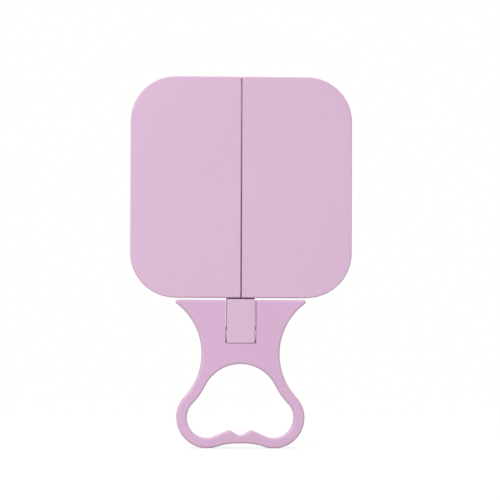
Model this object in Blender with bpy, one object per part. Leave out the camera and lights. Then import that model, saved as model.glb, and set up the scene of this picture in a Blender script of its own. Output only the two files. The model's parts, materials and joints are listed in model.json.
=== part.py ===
"""Folding three-panel hand mirror.

Two half doors close over a full mirror that sits in a tray. The tray's tab carries a handle with
a finger loop, which pivots on a pin and folds back to become the stand.

Metres, +Z up, the front towards -Y. The origin is the centre of the head's flat back.
"""

import math

import bmesh
import bpy
from mathutils import Matrix, Vector

# Head
HEAD_HALF = 0.0825  # half the side of the square head
HEAD_CORNER = 0.0335  # corner radius of the closed doors
FRONT_Y = -0.012  # front face; the back face is y = 0
RIM_Y = -0.006  # front rim of the tray
GAP = 0.0003  # between parts that meet face to face
WALL = 0.002  # thickness of every moulded skin
RIM = 0.0022  # width of the rims round the glass
EDGE_ROUND = 0.001  # rounding of the head's outer edges

# Doors
SEAM_HALF = 0.00045  # half the gap between the closed doors
SEAM_ROUND = 0.0004
DOOR_REAR_Y = RIM_Y - GAP
HINGE_X = 0.0805
HINGE_Z = 0.034  # height of a hinge above and below the centre
KNUCKLE_R = 0.002
TRAY_KNUCKLE = 0.008  # length of the tray's knuckle, in the middle of a hinge
DOOR_KNUCKLE = 0.005  # length of each door knuckle beside it
KNUCKLE_GAP = 0.00035
KNUCKLE_RISE = 0.0001  # the knuckle's arm starts this far behind the tray's rim
KNUCKLE_ROOT = 0.0015  # length of the arm that is inside the tray's wall
HINGE_PIN_R = 0.0008
HINGE_PIN_LENGTH = 0.018
HINGE_BORE_R = 0.00088
PIN_CHANNEL = 0.019  # groove in the door's rim through which a pin slides in

# Tray and glass
TRAY_HALF = 0.078
TRAY_CORNER = 0.0305
GLASS_HALF_X = 0.0755
GLASS_HALF_Z = 0.080
GLASS_CORNER = 0.0285
GLASS_THICK = 0.0018
GLASS_BEVEL = 0.0004
TAPE_THICK = 0.0008
TAPE_GAP = 0.0002
TRAY_FIT = 0.0003  # extra corner radius of the tray's pocket over the glass
TAPE_MARGIN = 0.003  # from the glass edge to the tape
TAPE_WIDTH = 0.016

# Tab
TAB_HALF = 0.0105
TAB_TOP = -0.0835
TAB_REAR_Y = -0.0002
TAB_ROUND = 0.0008
NECK_FRONT_Y = -0.0058
NECK_TOP = -0.0814  # the neck ends inside the tray's lower wall
TAB_CORE_HALF = 0.0035  # coring pockets in the back of the tab
TAB_CORE_X = 0.0055  # from the middle of the tab to the middle of a pocket
TAB_CORE_TOP = -0.0855
TAB_CORE_END = -0.1005
TAB_CORE_FLOOR_Y = -0.0095

# Pivot
PIVOT_Y = RIM_Y
PIVOT_Z = -0.1102
PIVOT_PIN_R = 0.002
PIVOT_PIN_HALF = 0.01935
PIVOT_BORE_R = 0.0021
WASHER_R = 0.006
WASHER_THICK = 0.00045
FOLD_ANGLE = 110  # degrees that the handle folds back
BARREL_R = TAB_REAR_Y - PIVOT_Y  # round lower back of the tab
TAB_END = PIVOT_Z - BARREL_R

# Handle
EAR_TOP = -0.0841
EAR_ROUND = 0.0015
FLARE_X = 0.0755  # centre of the hollow curve of each side
FLARE_R = 0.0466
LOBE_X = 0.0249
LOBE_Z = -0.1716
LOBE_R = 0.0227
FOOT_Z = -0.1906  # bottom edge between the two lobes
FOOT_FLAT = 0.002
HANDLE_ROUND = 0.0015
SMALLEST_R = 0.0002  # a corner keeps at least this radius where its edge is rounded
SLOT_HALF = 0.01135
SLOT_FLOOR = -0.1166

# Grip opening
ARCH_Z = -0.1612
ARCH_R = 0.02945
GRIP_LOBE_R = 0.015
GRIP_WAIST_R = 0.0489
BUMP = (0.008, -0.1807)  # peak of the bump beside the hanging notch
NOTCH = (0.0019, -0.1844)  # end of the notch's flat floor
BUMP_ROUND = 0.0016
NOTCH_ROUND = 0.0015

# Inside the handle
PIN_BLOCK_END = 0.0216
PIN_BLOCK_HALF = 0.0046
BOSS_R = 0.0032
SCREWS = {  # place of each pair of screws, at +X and -X
    "upper": (0.024, -0.095),
    "middle": (0.021, -0.124),
    "lower": (LOBE_X, LOBE_Z - (LOBE_R + GRIP_LOBE_R) / 2),
}
SCREW_R = 0.0011
SCREW_HEAD_R = 0.0019
SCREW_HEAD = 0.0013  # height of the head
SCREW_SINK = 0.0005  # depth of the head below the handle's back
SCREW_TIP_Y = -0.0095
COUNTERBORE_R = 0.00215
COUNTERBORE_DEPTH = 0.002
SCREW_HOLE_R = 0.0013
PILOT_FLOOR_Y = -0.01
CROSS_HALF = 0.0011  # cross recess in a screw head
CROSS_WIDTH = 0.0005
CROSS_DEPTH = 0.0007
HEAD_TOP = 0.62  # radius of the flat on the screw's head, as a share of the head's radius
HEAD_SHOULDER = (0.9, 0.25)  # shares of the head's radius and height
HEAD_EDGE = 0.6  # share of the head's height that is round
TIP = 0.3  # radius of the screw's blunt tip, as a share of the shank's

# Fineness of the round shapes
CORNER_STEPS = 10
CURVE_STEPS = 13
ARCH_STEPS = 10
TAB_STEPS = 8
BEND_STEPS = 4  # short arcs of the handle
NOTCH_STEPS = 3
ROUND_STEPS = 2
ROD_STEPS = 16
SCREW_STEPS = 12
PIVOT_STEPS = 20
SHARP_ANGLE = 32  # degrees above which an edge is shaded sharp
PAST = 0.001  # how far a cutter runs past the face that it opens
SAME_PLACE = 1e-7  # points closer than this are one point

LILAC = (0.716, 0.491, 0.665)

SIDES = {"left": -1, "right": 1}


# Outlines


def on_circle(centre, radius, angle):
    turn = math.radians(angle)
    return (centre[0] + radius * math.cos(turn), centre[1] + radius * math.sin(turn))


def arc(centre, radius, start, end, steps):
    """Points of an arc with both its ends, in degrees from the first axis towards the second."""
    turn = (end - start) / steps
    return [on_circle(centre, radius, start + turn * i) for i in range(steps + 1)]


def circle(centre, radius, steps):
    return arc(centre, radius, 0, 360, steps)[:-1]


def chain(*pieces):
    """One path through all the pieces, with a shared end point kept once."""
    path = []
    for point in (p for piece in pieces for p in piece):
        if not path or math.dist(path[-1], point) > SAME_PLACE:
            path.append(point)
    return path


def mirrored(points, side):
    """The points at +X, or flipped to -X and kept in the same turning sense."""
    return points if side > 0 else [(-x, z) for x, z in reversed(points)]


def both_sides(half):
    """A closed outline from its half at +X."""
    outline = chain(half, mirrored(half, -1))
    return outline[:-1] if math.dist(outline[0], outline[-1]) < SAME_PLACE else outline


def bearing(start, end):
    return math.degrees(math.atan2(end[1] - start[1], end[0] - start[0]))


def rounded_rectangle(half_x, half_z, corner):
    x, z = half_x - corner, half_z - corner
    corners = ((x, z, 0), (-x, z, 90), (-x, -z, 180), (x, -z, 270))
    return chain(
        *(arc((cx, cz), corner, a, a + 90, CORNER_STEPS) for cx, cz, a in corners)
    )


def half_panel(seam_x, outer_x, half_z, corner):
    """Outline of the panel at +X: straight along the seam, with its two outer corners round."""
    x, z = outer_x - corner, half_z - corner
    return chain(
        [(seam_x, -half_z)],
        arc((x, -z), corner, -90, 0, CORNER_STEPS),
        arc((x, z), corner, 0, 90, CORNER_STEPS),
        [(seam_x, half_z)],
    )


def offset_corner(before, corner, after, distance):
    """Where a corner goes when both its lines move to the left of their direction."""
    first = (Vector(corner) - Vector(before)).normalized().orthogonal()
    second = (Vector(after) - Vector(corner)).normalized().orthogonal()
    return Vector(corner) + (first + second) * distance / (1 + first.dot(second))


def fillet(before, corner, after, radius, steps):
    """Arc that rounds the corner of two straight lines."""
    to_start = (Vector(before) - Vector(corner)).normalized()
    to_end = (Vector(after) - Vector(corner)).normalized()
    half = to_start.angle(to_end) / 2
    centre = Vector(corner) + (to_start + to_end).normalized() * radius / math.sin(half)
    start = bearing(centre, Vector(corner) + to_start * radius / math.tan(half))
    end = bearing(centre, Vector(corner) + to_end * radius / math.tan(half))
    turn = (end - start + 180) % 360 - 180
    return arc(centre, radius, start, start + turn, steps)


def handle_outline(inset):
    """Outer edge of the handle, without its slot, moved into the material by inset."""
    lobe = (LOBE_X, LOBE_Z)
    across = FLARE_X - LOBE_X
    flare = (FLARE_X, LOBE_Z + math.sqrt((FLARE_R + LOBE_R) ** 2 - across**2))
    tip_r = max(EAR_ROUND - inset, SMALLEST_R)
    tip_z = EAR_TOP - inset - tip_r
    reach = FLARE_R + inset + tip_r
    tip = (FLARE_X - math.sqrt(reach**2 - (tip_z - flare[1]) ** 2), tip_z)
    drop = LOBE_Z - FOOT_Z
    run = LOBE_X - FOOT_FLAT
    foot_r = (run**2 + drop**2 - LOBE_R**2) / (2 * (LOBE_R - drop))
    foot = (FOOT_FLAT, FOOT_Z - foot_r)
    half = chain(
        arc(tip, tip_r, 90, bearing(tip, flare), BEND_STEPS),
        arc(flare, FLARE_R + inset, bearing(flare, tip), bearing(flare, lobe) + 360, CURVE_STEPS),
        arc(lobe, LOBE_R - inset, bearing(lobe, flare), bearing(lobe, foot), CURVE_STEPS),
        arc(foot, foot_r + inset, bearing(foot, lobe), 90, BEND_STEPS),
    )
    return both_sides(half)


def grip_outline(inset):
    """Edge of the grip opening, moved into the material by inset."""
    arch = (0.0, ARCH_Z)
    lobe = (LOBE_X, LOBE_Z)
    to_arch, to_lobe = ARCH_R + GRIP_WAIST_R, GRIP_LOBE_R + GRIP_WAIST_R
    apart = math.dist(arch, lobe)
    cosine = (to_arch**2 + apart**2 - to_lobe**2) / (2 * to_arch * apart)
    waist = on_circle(arch, to_arch, bearing(arch, lobe) + math.degrees(math.acos(cosine)))
    tangent = math.degrees(math.acos(GRIP_LOBE_R / math.dist(lobe, BUMP)))
    leave = bearing(lobe, BUMP) + tangent
    middle = (0.0, NOTCH[1])
    bump = offset_corner(on_circle(lobe, GRIP_LOBE_R, leave), BUMP, NOTCH, inset)
    notch = offset_corner(BUMP, NOTCH, middle, inset)
    lobe_arc = arc(lobe, GRIP_LOBE_R + inset, bearing(lobe, waist), leave, CURVE_STEPS)
    waist_start, waist_end = bearing(waist, arch) + 360, bearing(waist, lobe) + 360
    half = chain(
        arc(arch, ARCH_R + inset, 90, bearing(arch, waist), ARCH_STEPS),
        arc(waist, GRIP_WAIST_R - inset, waist_start, waist_end, BEND_STEPS),
        lobe_arc,
        fillet(lobe_arc[-1], bump, notch, max(BUMP_ROUND - inset, SMALLEST_R), BEND_STEPS),
        fillet(bump, notch, (0.0, notch[1]), NOTCH_ROUND + inset, NOTCH_STEPS),
    )
    return both_sides(half)


# Solids

PLACED = {
    "X": lambda u, v, along: (along, u, v),
    "Y": lambda u, v, along: (u, along, v),
    "Z": lambda u, v, along: (u, v, along),
}


def loft(name, rings, axis="Y", closed=False):
    """Solid through rings of equal length, each an outline at its own place along the axis.

    Its ends are capped, or joined to each other when closed.
    """
    bm = bmesh.new()
    loops = [
        [bm.verts.new(PLACED[axis](u, v, along)) for u, v in outline] for outline, along in rings
    ]
    pairs = list(zip(loops, loops[1:]))
    if closed:
        pairs.append((loops[-1], loops[0]))
    else:
        bm.faces.new(loops[0])
        bm.faces.new(loops[-1])
    for near, far in pairs:
        for i in range(len(near)):
            bm.faces.new((near[i - 1], near[i], far[i], far[i - 1]))
    bmesh.ops.recalc_face_normals(bm, faces=bm.faces)
    mesh = bpy.data.meshes.new(name)
    bm.to_mesh(mesh)
    bm.free()
    mesh.shade_smooth()
    mesh.set_sharp_from_angle(angle=math.radians(SHARP_ANGLE))
    obj = bpy.data.objects.new(name, mesh)
    bpy.context.scene.collection.objects.link(obj)
    return obj


def prism(name, outline, start, end, axis="Y"):
    return loft(name, [(outline, start), (outline, end)], axis)


def rod(name, centre, radius, start, end, axis, steps=ROD_STEPS):
    return prism(name, circle(centre, radius, steps), start, end, axis)


def box(name, low, high):
    corners = [(low[0], low[2]), (high[0], low[2]), (high[0], high[2]), (low[0], high[2])]
    return prism(name, corners, low[1], high[1])


def rounding(radius, face, towards):
    """(inset, place) of each ring that rounds an edge into a face; towards is the face's side."""
    angles = [math.radians(90 * i / ROUND_STEPS) for i in range(ROUND_STEPS + 1)]
    return [
        (radius * (1 - math.cos(a)), face - towards * radius * (1 - math.sin(a))) for a in angles
    ]


def boolean(target, operation, helpers):
    """Adds one Boolean for each helper, and keeps the helper out of the render."""
    for helper in helpers:
        modifier = target.modifiers.new(helper.name, "BOOLEAN")
        modifier.operation = operation
        modifier.solver = "EXACT"
        modifier.object = helper
        helper.hide_render = True
        helper.display_type = "WIRE"


def cut(target, *helpers):
    boolean(target, "DIFFERENCE", helpers)


def join(target, *helpers):
    boolean(target, "UNION", helpers)


# Materials and placing


def make_material(name, colour, roughness, metallic=0.0):
    material = bpy.data.materials.new(name)
    material.use_nodes = True
    shader = material.node_tree.nodes["Principled BSDF"]
    shader.inputs["Base Color"].default_value = (*colour, 1.0)
    shader.inputs["Roughness"].default_value = roughness
    shader.inputs["Metallic"].default_value = metallic
    material.diffuse_color = (*colour, 1.0)
    return material


def joint_empty(name, location):
    empty = bpy.data.objects.new(name, None)
    empty.location = location
    bpy.context.scene.collection.objects.link(empty)
    return empty


def finish(obj, material, parent=None):
    """Gives a piece its material and hangs it on its joint, at the place where it was built."""
    obj.data.materials.append(material)
    if parent:
        obj.parent = parent
        obj.matrix_parent_inverse = Matrix.Translation(parent.location).inverted()


# Head


def hinge_stations():
    return (("upper", HINGE_Z), ("lower", -HINGE_Z))


def glass_sheet(name, outline, shiny_y, towards):
    """Sheet of mirror glass whose front edge is ground to a small bevel."""
    rings = [
        (outline(0), shiny_y - towards * GLASS_THICK),
        (outline(0), shiny_y - towards * GLASS_BEVEL),
        (outline(GLASS_BEVEL), shiny_y),
    ]
    return loft(name, rings)


def tape_frame(name, outline, start, end):
    """Foam tape laid in one closed frame just inside the edge of its glass."""
    outer, inner = outline(TAPE_MARGIN), outline(TAPE_MARGIN + TAPE_WIDTH)
    rings = [(inner, start), (inner, end), (outer, end), (outer, start)]
    return loft(name, rings, closed=True)


def tray_outline(inset):
    return rounded_rectangle(TRAY_HALF - inset, HEAD_HALF - inset, TRAY_CORNER - inset)


def centre_glass_outline(inset):
    return rounded_rectangle(
        GLASS_HALF_X - inset, GLASS_HALF_Z - inset, GLASS_CORNER - inset
    )


def tray_knuckle(name, side, z):
    """Knuckle on a short arm that reaches out of the tray's side wall."""
    arm_root = TRAY_HALF - KNUCKLE_ROOT
    arm_y = RIM_Y + KNUCKLE_RISE
    half = chain(
        [(arm_root, arm_y), (HINGE_X - KNUCKLE_R, arm_y)],
        arc((HINGE_X, RIM_Y), KNUCKLE_R, 180, 450, ROD_STEPS),
        [(arm_root, RIM_Y + KNUCKLE_R)],
    )
    return prism(
        name, mirrored(half, side), z - TRAY_KNUCKLE / 2, z + TRAY_KNUCKLE / 2, axis="Z"
    )


def tab(name):
    """Tab with its neck: a square stop at the front lower corner and a round back."""

    def profile(inset):
        front, top, end = FRONT_Y + inset, TAB_TOP - inset, TAB_END + inset
        return chain(
            [(front, top), (front, end)],
            arc((PIVOT_Y, PIVOT_Z), BARREL_R - inset, -90, 0, TAB_STEPS),
            [(TAB_REAR_Y - inset, NECK_TOP), (NECK_FRONT_Y, NECK_TOP), (NECK_FRONT_Y, top)],
        )

    right = [(profile(inset), x) for inset, x in rounding(TAB_ROUND, TAB_HALF, 1)]
    left = [(outline, -x) for outline, x in reversed(right)]
    return loft(name, left + right, axis="X")


def centre_tray(plastic):
    pocket = rounded_rectangle(TRAY_HALF - RIM, HEAD_HALF - RIM, GLASS_CORNER + TRAY_FIT)
    rings = [(pocket, -WALL), (pocket, RIM_Y), (tray_outline(0), RIM_Y)]
    rings += [(tray_outline(inset), y) for inset, y in rounding(EDGE_ROUND, 0.0, 1)]
    tray = loft("centre_tray", rings)
    join(tray, tab("tray_tab"))
    for side_name, side in SIDES.items():
        for level, z in hinge_stations():
            join(tray, tray_knuckle(f"tray_knuckle_{side_name}_{level}", side, z))
            bore = rod(
                f"tray_pin_bore_{side_name}_{level}",
                (side * HINGE_X, RIM_Y),
                HINGE_BORE_R,
                z - TRAY_KNUCKLE,
                z + TRAY_KNUCKLE,
                "Z",
            )
            cut(tray, bore)
    pivot_bore = rod(
        "tab_pivot_bore",
        (PIVOT_Y, PIVOT_Z),
        PIVOT_BORE_R,
        -TAB_HALF - PAST,
        TAB_HALF + PAST,
        "X",
        PIVOT_STEPS,
    )
    cut(tray, pivot_bore)
    for side_name, side in SIDES.items():
        middle = side * TAB_CORE_X
        core = box(
            f"tab_core_{side_name}",
            (middle - TAB_CORE_HALF, TAB_CORE_FLOOR_Y, TAB_CORE_END),
            (middle + TAB_CORE_HALF, PAST, TAB_CORE_TOP),
        )
        cut(tray, core)
    finish(tray, plastic)


def centre_glass(glass, foam):
    shiny_y = -WALL - 2 * TAPE_GAP - TAPE_THICK - GLASS_THICK
    finish(glass_sheet("centre_mirror", centre_glass_outline, shiny_y, -1), glass)
    tape_back = -WALL - TAPE_GAP
    tape = tape_frame(
        "centre_mirror_tape", centre_glass_outline, tape_back, tape_back - TAPE_THICK
    )
    finish(tape, foam)


def hinge_pins(steel):
    for side_name, side in SIDES.items():
        for level, z in hinge_stations():
            pin = rod(
                f"hinge_pin_{side_name}_{level}",
                (side * HINGE_X, RIM_Y),
                HINGE_PIN_R,
                z - HINGE_PIN_LENGTH / 2,
                z + HINGE_PIN_LENGTH / 2,
                "Z",
            )
            finish(pin, steel)


# Doors


def door_outline(side, inset, seam_inset):
    half = half_panel(
        SEAM_HALF + seam_inset, HEAD_HALF - inset, HEAD_HALF - inset, HEAD_CORNER - inset
    )
    return mirrored(half, side)


def door_glass_outline(side, inset):
    seam_x = SEAM_HALF + RIM + GAP
    half = half_panel(
        seam_x + inset, GLASS_HALF_X - inset, GLASS_HALF_Z - inset, GLASS_CORNER - inset
    )
    return mirrored(half, side)


def door_hinge(door, side_name, side, level, z):
    """Two door knuckles, the pocket where the tray's knuckle turns, and the pin's bore."""
    tag = f"{side_name}_{level}"
    near = TRAY_KNUCKLE / 2 + KNUCKLE_GAP
    for place, start in (("above", z + near), ("below", z - near - DOOR_KNUCKLE)):
        knuckle = rod(
            f"door_knuckle_{tag}_{place}",
            (side * HINGE_X, RIM_Y),
            KNUCKLE_R,
            start,
            start + DOOR_KNUCKLE,
            "Z",
        )
        join(door, knuckle)
    clear_r = KNUCKLE_R + GAP
    outside = HEAD_HALF + PAST
    half = chain(
        arc((HINGE_X, RIM_Y), clear_r, 180, 270, ROD_STEPS // 4),
        [
            (outside, RIM_Y - clear_r),
            (outside, RIM_Y + clear_r + PAST),
            (HINGE_X - clear_r, RIM_Y + clear_r + PAST),
        ],
    )
    pocket = prism(f"door_pocket_{tag}", mirrored(half, side), z - near, z + near, axis="Z")
    reach = near + DOOR_KNUCKLE
    towards_middle = -1 if z > 0 else 1
    bore = rod(
        f"door_pin_bore_{tag}",
        (side * HINGE_X, RIM_Y),
        HINGE_BORE_R,
        z - towards_middle * (reach + PAST),
        z + towards_middle * (reach + PIN_CHANNEL),
        "Z",
    )
    cut(door, pocket, bore)


def door(side_name, side, plastic, glass, foam):
    hinge = joint_empty(f"{side_name}_door_hinge", (side * HINGE_X, RIM_Y, 0.0))
    pocket = mirrored(
        half_panel(
            SEAM_HALF + RIM, TRAY_HALF - RIM, HEAD_HALF - RIM, GLASS_CORNER + GAP
        ),
        side,
    )
    floor_y = FRONT_Y + WALL
    rings = [(pocket, floor_y), (pocket, DOOR_REAR_Y), (door_outline(side, 0, 0), DOOR_REAR_Y)]
    seam_share = SEAM_ROUND / EDGE_ROUND
    rings += [
        (door_outline(side, inset, inset * seam_share), y)
        for inset, y in rounding(EDGE_ROUND, FRONT_Y, -1)
    ]
    shell = loft(f"{side_name}_door_shell", rings)
    for level, z in hinge_stations():
        door_hinge(shell, side_name, side, level, z)
    finish(shell, plastic, hinge)

    def outline(inset):
        return door_glass_outline(side, inset)

    tape_y = floor_y + TAPE_GAP
    tape = tape_frame(f"{side_name}_door_mirror_tape", outline, tape_y, tape_y + TAPE_THICK)
    finish(tape, foam, hinge)
    shiny_y = tape_y + TAPE_THICK + TAPE_GAP + GLASS_THICK
    finish(glass_sheet(f"{side_name}_door_mirror", outline, shiny_y, 1), glass, hinge)


# Handle


def handle_cavity(name, floor_y, open_y, slot_floor):
    """Space inside one half of the handle, with room left for the slot, pin and screws."""
    cavity = prism(name, handle_outline(WALL), floor_y, open_y)
    low_y, high_y = min(floor_y, open_y) - PAST, max(floor_y, open_y) + PAST
    grip_wall = prism(f"{name}_grip_keep", grip_outline(WALL), low_y, high_y)
    slot_wall = box(
        f"{name}_slot_keep",
        (-SLOT_HALF - WALL, low_y, slot_floor - WALL),
        (SLOT_HALF + WALL, high_y, EAR_TOP + PAST),
    )
    cut(cavity, grip_wall, slot_wall)
    for side_name, side in SIDES.items():
        ends = sorted((side * SLOT_HALF, side * PIN_BLOCK_END))
        block = box(
            f"{name}_pin_keep_{side_name}",
            (ends[0], low_y, PIVOT_Z - PIN_BLOCK_HALF),
            (ends[1], high_y, PIVOT_Z + PIN_BLOCK_HALF),
        )
        cut(cavity, block)
        for level, (x, z) in SCREWS.items():
            boss = rod(
                f"{name}_boss_{side_name}_{level}", (side * x, z), BOSS_R, low_y, high_y, "Y"
            )
            cut(cavity, boss)
    return cavity


def handle_half(name, parting_y, face_y, towards):
    """One moulded half of the handle; towards is the side of Y that its outer face is on."""
    rings = [(handle_outline(0), parting_y)]
    rings += [(handle_outline(inset), y) for inset, y in rounding(HANDLE_ROUND, face_y, towards)]
    half = loft(name, rings)
    open_y = parting_y - towards * PAST
    grip_rings = [(grip_outline(0), open_y)]
    grip_rings += [
        (grip_outline(inset), y) for inset, y in rounding(HANDLE_ROUND, face_y, towards)
    ]
    grip_rings.append((grip_outline(HANDLE_ROUND), face_y + towards * PAST))
    cut(half, loft(f"{name}_grip", grip_rings))
    return half


def slot_cutter(name, slope_start_y):
    """Slot for the tab: a flat floor in front, sloping down behind for the folded position."""
    slope = math.tan(math.radians(FOLD_ANGLE - 90))
    rear_y = PAST
    top = EAR_TOP + 2 * PAST
    profile = [
        (FRONT_Y - PAST, SLOT_FLOOR),
        (slope_start_y, SLOT_FLOOR),
        (rear_y, SLOT_FLOOR - slope * (rear_y - slope_start_y)),
        (rear_y, top),
        (FRONT_Y - PAST, top),
    ]
    return prism(name, profile, -SLOT_HALF, SLOT_HALF, axis="X")


def stepped_hole(name, place):
    """Cutter for a screw's clearance hole with its counterbore."""
    profile = [
        (SCREW_HOLE_R, PIVOT_Y - PAST),
        (SCREW_HOLE_R, -COUNTERBORE_DEPTH),
        (COUNTERBORE_R, -COUNTERBORE_DEPTH),
        (COUNTERBORE_R, PAST),
    ]
    return loft(name, [(circle(place, r, ROD_STEPS), y) for r, y in profile])


def screw(name, x, z, steel, parent):
    """Self-tapping screw with a rounded head and a cross recess."""
    head_y = -SCREW_SINK
    seat_y = head_y - SCREW_HEAD
    shoulder_r = HEAD_SHOULDER[0] * SCREW_HEAD_R
    shoulder_y = head_y - HEAD_SHOULDER[1] * SCREW_HEAD
    profile = [
        (HEAD_TOP * SCREW_HEAD_R, head_y),
        (shoulder_r, shoulder_y),
        (SCREW_HEAD_R, head_y - HEAD_EDGE * SCREW_HEAD),
        (SCREW_HEAD_R, seat_y),
        (SCREW_R, seat_y),
        (SCREW_R, SCREW_TIP_Y + SCREW_R),
        (TIP * SCREW_R, SCREW_TIP_Y),
    ]
    body = loft(name, [(circle((x, z), r, SCREW_STEPS), y) for r, y in profile])
    floor_y = head_y - CROSS_DEPTH
    arms = ((CROSS_HALF, CROSS_WIDTH / 2), (CROSS_WIDTH / 2, CROSS_HALF))
    for i, (half_x, half_z) in enumerate(arms):
        arm = box(
            f"{name}_cross_{i}", (x - half_x, floor_y, z - half_z), (x + half_x, PAST, z + half_z)
        )
        cut(body, arm)
    finish(body, steel, parent)


def handle(plastic, steel, nylon):
    pivot = joint_empty("handle_pivot", (0.0, PIVOT_Y, PIVOT_Z))
    front = handle_half("handle_front_shell", PIVOT_Y - GAP / 2, FRONT_Y, -1)
    rear = handle_half("handle_rear_shell", PIVOT_Y + GAP / 2, 0.0, 1)
    slot = slot_cutter("handle_slot", PIVOT_Y)
    cut(front, slot)
    cut(rear, slot)
    front_cavity = handle_cavity(
        "front_cavity", FRONT_Y + WALL, PIVOT_Y + PAST, SLOT_FLOOR
    )
    rear_drop = math.tan(math.radians(FOLD_ANGLE - 90)) * -PIVOT_Y
    rear_cavity = handle_cavity(
        "rear_cavity", -WALL, PIVOT_Y - PAST, SLOT_FLOOR - rear_drop
    )
    cut(front, front_cavity)
    cut(rear, rear_cavity)
    pin_bed = rod(
        "handle_pin_bed",
        (PIVOT_Y, PIVOT_Z),
        PIVOT_BORE_R,
        -PIVOT_PIN_HALF - GAP,
        PIVOT_PIN_HALF + GAP,
        "X",
        PIVOT_STEPS,
    )
    cut(front, pin_bed)
    cut(rear, pin_bed)
    for side_name, side in SIDES.items():
        for level, (x, z) in SCREWS.items():
            tag = f"{level}_{side_name}"
            place = (side * x, z)
            pilot = rod(f"pilot_{tag}", place, SCREW_HOLE_R, PILOT_FLOOR_Y, PIVOT_Y + PAST, "Y")
            cut(front, pilot)
            cut(rear, stepped_hole(f"through_{tag}", place))
            screw(f"handle_screw_{tag}", side * x, z, steel, pivot)
    finish(front, plastic, pivot)
    finish(rear, plastic, pivot)
    pin = rod(
        "handle_pivot_pin",
        (PIVOT_Y, PIVOT_Z),
        PIVOT_PIN_R,
        -PIVOT_PIN_HALF,
        PIVOT_PIN_HALF,
        "X",
        PIVOT_STEPS,
    )
    finish(pin, steel, pivot)
    middle = (TAB_HALF + SLOT_HALF) / 2
    for side_name, side in SIDES.items():
        inner = circle((PIVOT_Y, PIVOT_Z), PIVOT_BORE_R, PIVOT_STEPS)
        outer = circle((PIVOT_Y, PIVOT_Z), WASHER_R, PIVOT_STEPS)
        low, high = (side * middle - WASHER_THICK / 2, side * middle + WASHER_THICK / 2)
        rings = [(inner, low), (inner, high), (outer, high), (outer, low)]
        washer = loft(f"pivot_washer_{side_name}", rings, axis="X", closed=True)
        finish(washer, nylon, pivot)


def main():
    for obj in list(bpy.data.objects):
        bpy.data.objects.remove(obj)
    plastic = make_material("lilac_plastic", LILAC, 0.42)
    glass = make_material("mirror_glass", (0.9, 0.91, 0.92), 0.02, 1.0)
    foam = make_material("foam_tape", (0.82, 0.82, 0.8), 0.9)
    steel = make_material("steel", (0.62, 0.62, 0.64), 0.3, 1.0)
    nylon = make_material("nylon", (0.8, 0.76, 0.8), 0.5)
    centre_tray(plastic)
    centre_glass(glass, foam)
    hinge_pins(steel)
    for side_name, side in SIDES.items():
        door(side_name, side, plastic, glass, foam)
    handle(plastic, steel, nylon)


main()
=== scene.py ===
"""Looks of the folding hand mirror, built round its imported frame.

Each CAD node is replaced by a finer mesh of the same shape and size that rides on the same body.
Metres, +Z up, the front towards -Y, as in the frame.
"""

import json
import math

import bmesh
import bpy
from mathutils import Matrix, Vector


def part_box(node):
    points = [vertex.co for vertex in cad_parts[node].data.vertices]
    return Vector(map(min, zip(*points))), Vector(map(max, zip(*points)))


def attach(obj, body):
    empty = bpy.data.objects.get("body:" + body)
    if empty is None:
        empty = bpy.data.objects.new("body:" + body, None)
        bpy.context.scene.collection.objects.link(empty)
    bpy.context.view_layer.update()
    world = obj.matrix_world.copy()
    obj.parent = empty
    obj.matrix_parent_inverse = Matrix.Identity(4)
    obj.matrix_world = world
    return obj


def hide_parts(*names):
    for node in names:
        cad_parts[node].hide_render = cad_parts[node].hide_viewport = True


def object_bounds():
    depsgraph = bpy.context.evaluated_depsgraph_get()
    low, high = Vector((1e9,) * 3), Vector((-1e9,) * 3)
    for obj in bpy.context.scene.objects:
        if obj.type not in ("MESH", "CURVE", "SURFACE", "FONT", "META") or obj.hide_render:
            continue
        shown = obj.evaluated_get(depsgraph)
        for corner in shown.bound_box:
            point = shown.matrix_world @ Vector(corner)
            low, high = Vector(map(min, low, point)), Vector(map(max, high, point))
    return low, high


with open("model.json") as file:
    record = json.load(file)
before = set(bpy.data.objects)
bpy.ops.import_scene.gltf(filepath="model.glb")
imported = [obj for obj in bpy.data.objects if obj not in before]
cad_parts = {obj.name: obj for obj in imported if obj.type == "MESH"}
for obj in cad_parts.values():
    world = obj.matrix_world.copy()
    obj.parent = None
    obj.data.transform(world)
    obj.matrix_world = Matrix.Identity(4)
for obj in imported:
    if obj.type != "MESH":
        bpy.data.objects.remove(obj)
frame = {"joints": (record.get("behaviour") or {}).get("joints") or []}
CAD_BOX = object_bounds()

# Places and sizes taken from the frame
JOINTS = {joint["name"]: Vector(joint["pos_m"]) for joint in frame["joints"]}
DOOR_LOW, DOOR_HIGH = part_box("right_door_shell")
GLASS_LOW, GLASS_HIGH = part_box("centre_mirror")
TRAY_LOW, TRAY_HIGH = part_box("centre_tray")
HEAD_HALF = DOOR_HIGH.z
FRONT_Y = DOOR_LOW.y
BACK_Y = TRAY_HIGH.y
SEAM_HALF = DOOR_LOW.x
HINGE_X = JOINTS["right_door_hinge"].x
RIM_Y = JOINTS["right_door_hinge"].y  # front rim of the tray, level with the hinges
PIVOT_Y, PIVOT_Z = JOINTS["handle_pivot"].yz
EAR_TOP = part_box("handle_front_shell")[1].z
TAB_END = TRAY_LOW.z
HINGE_Z = sum(corner.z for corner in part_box("hinge_pin_right_upper")) / 2

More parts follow.
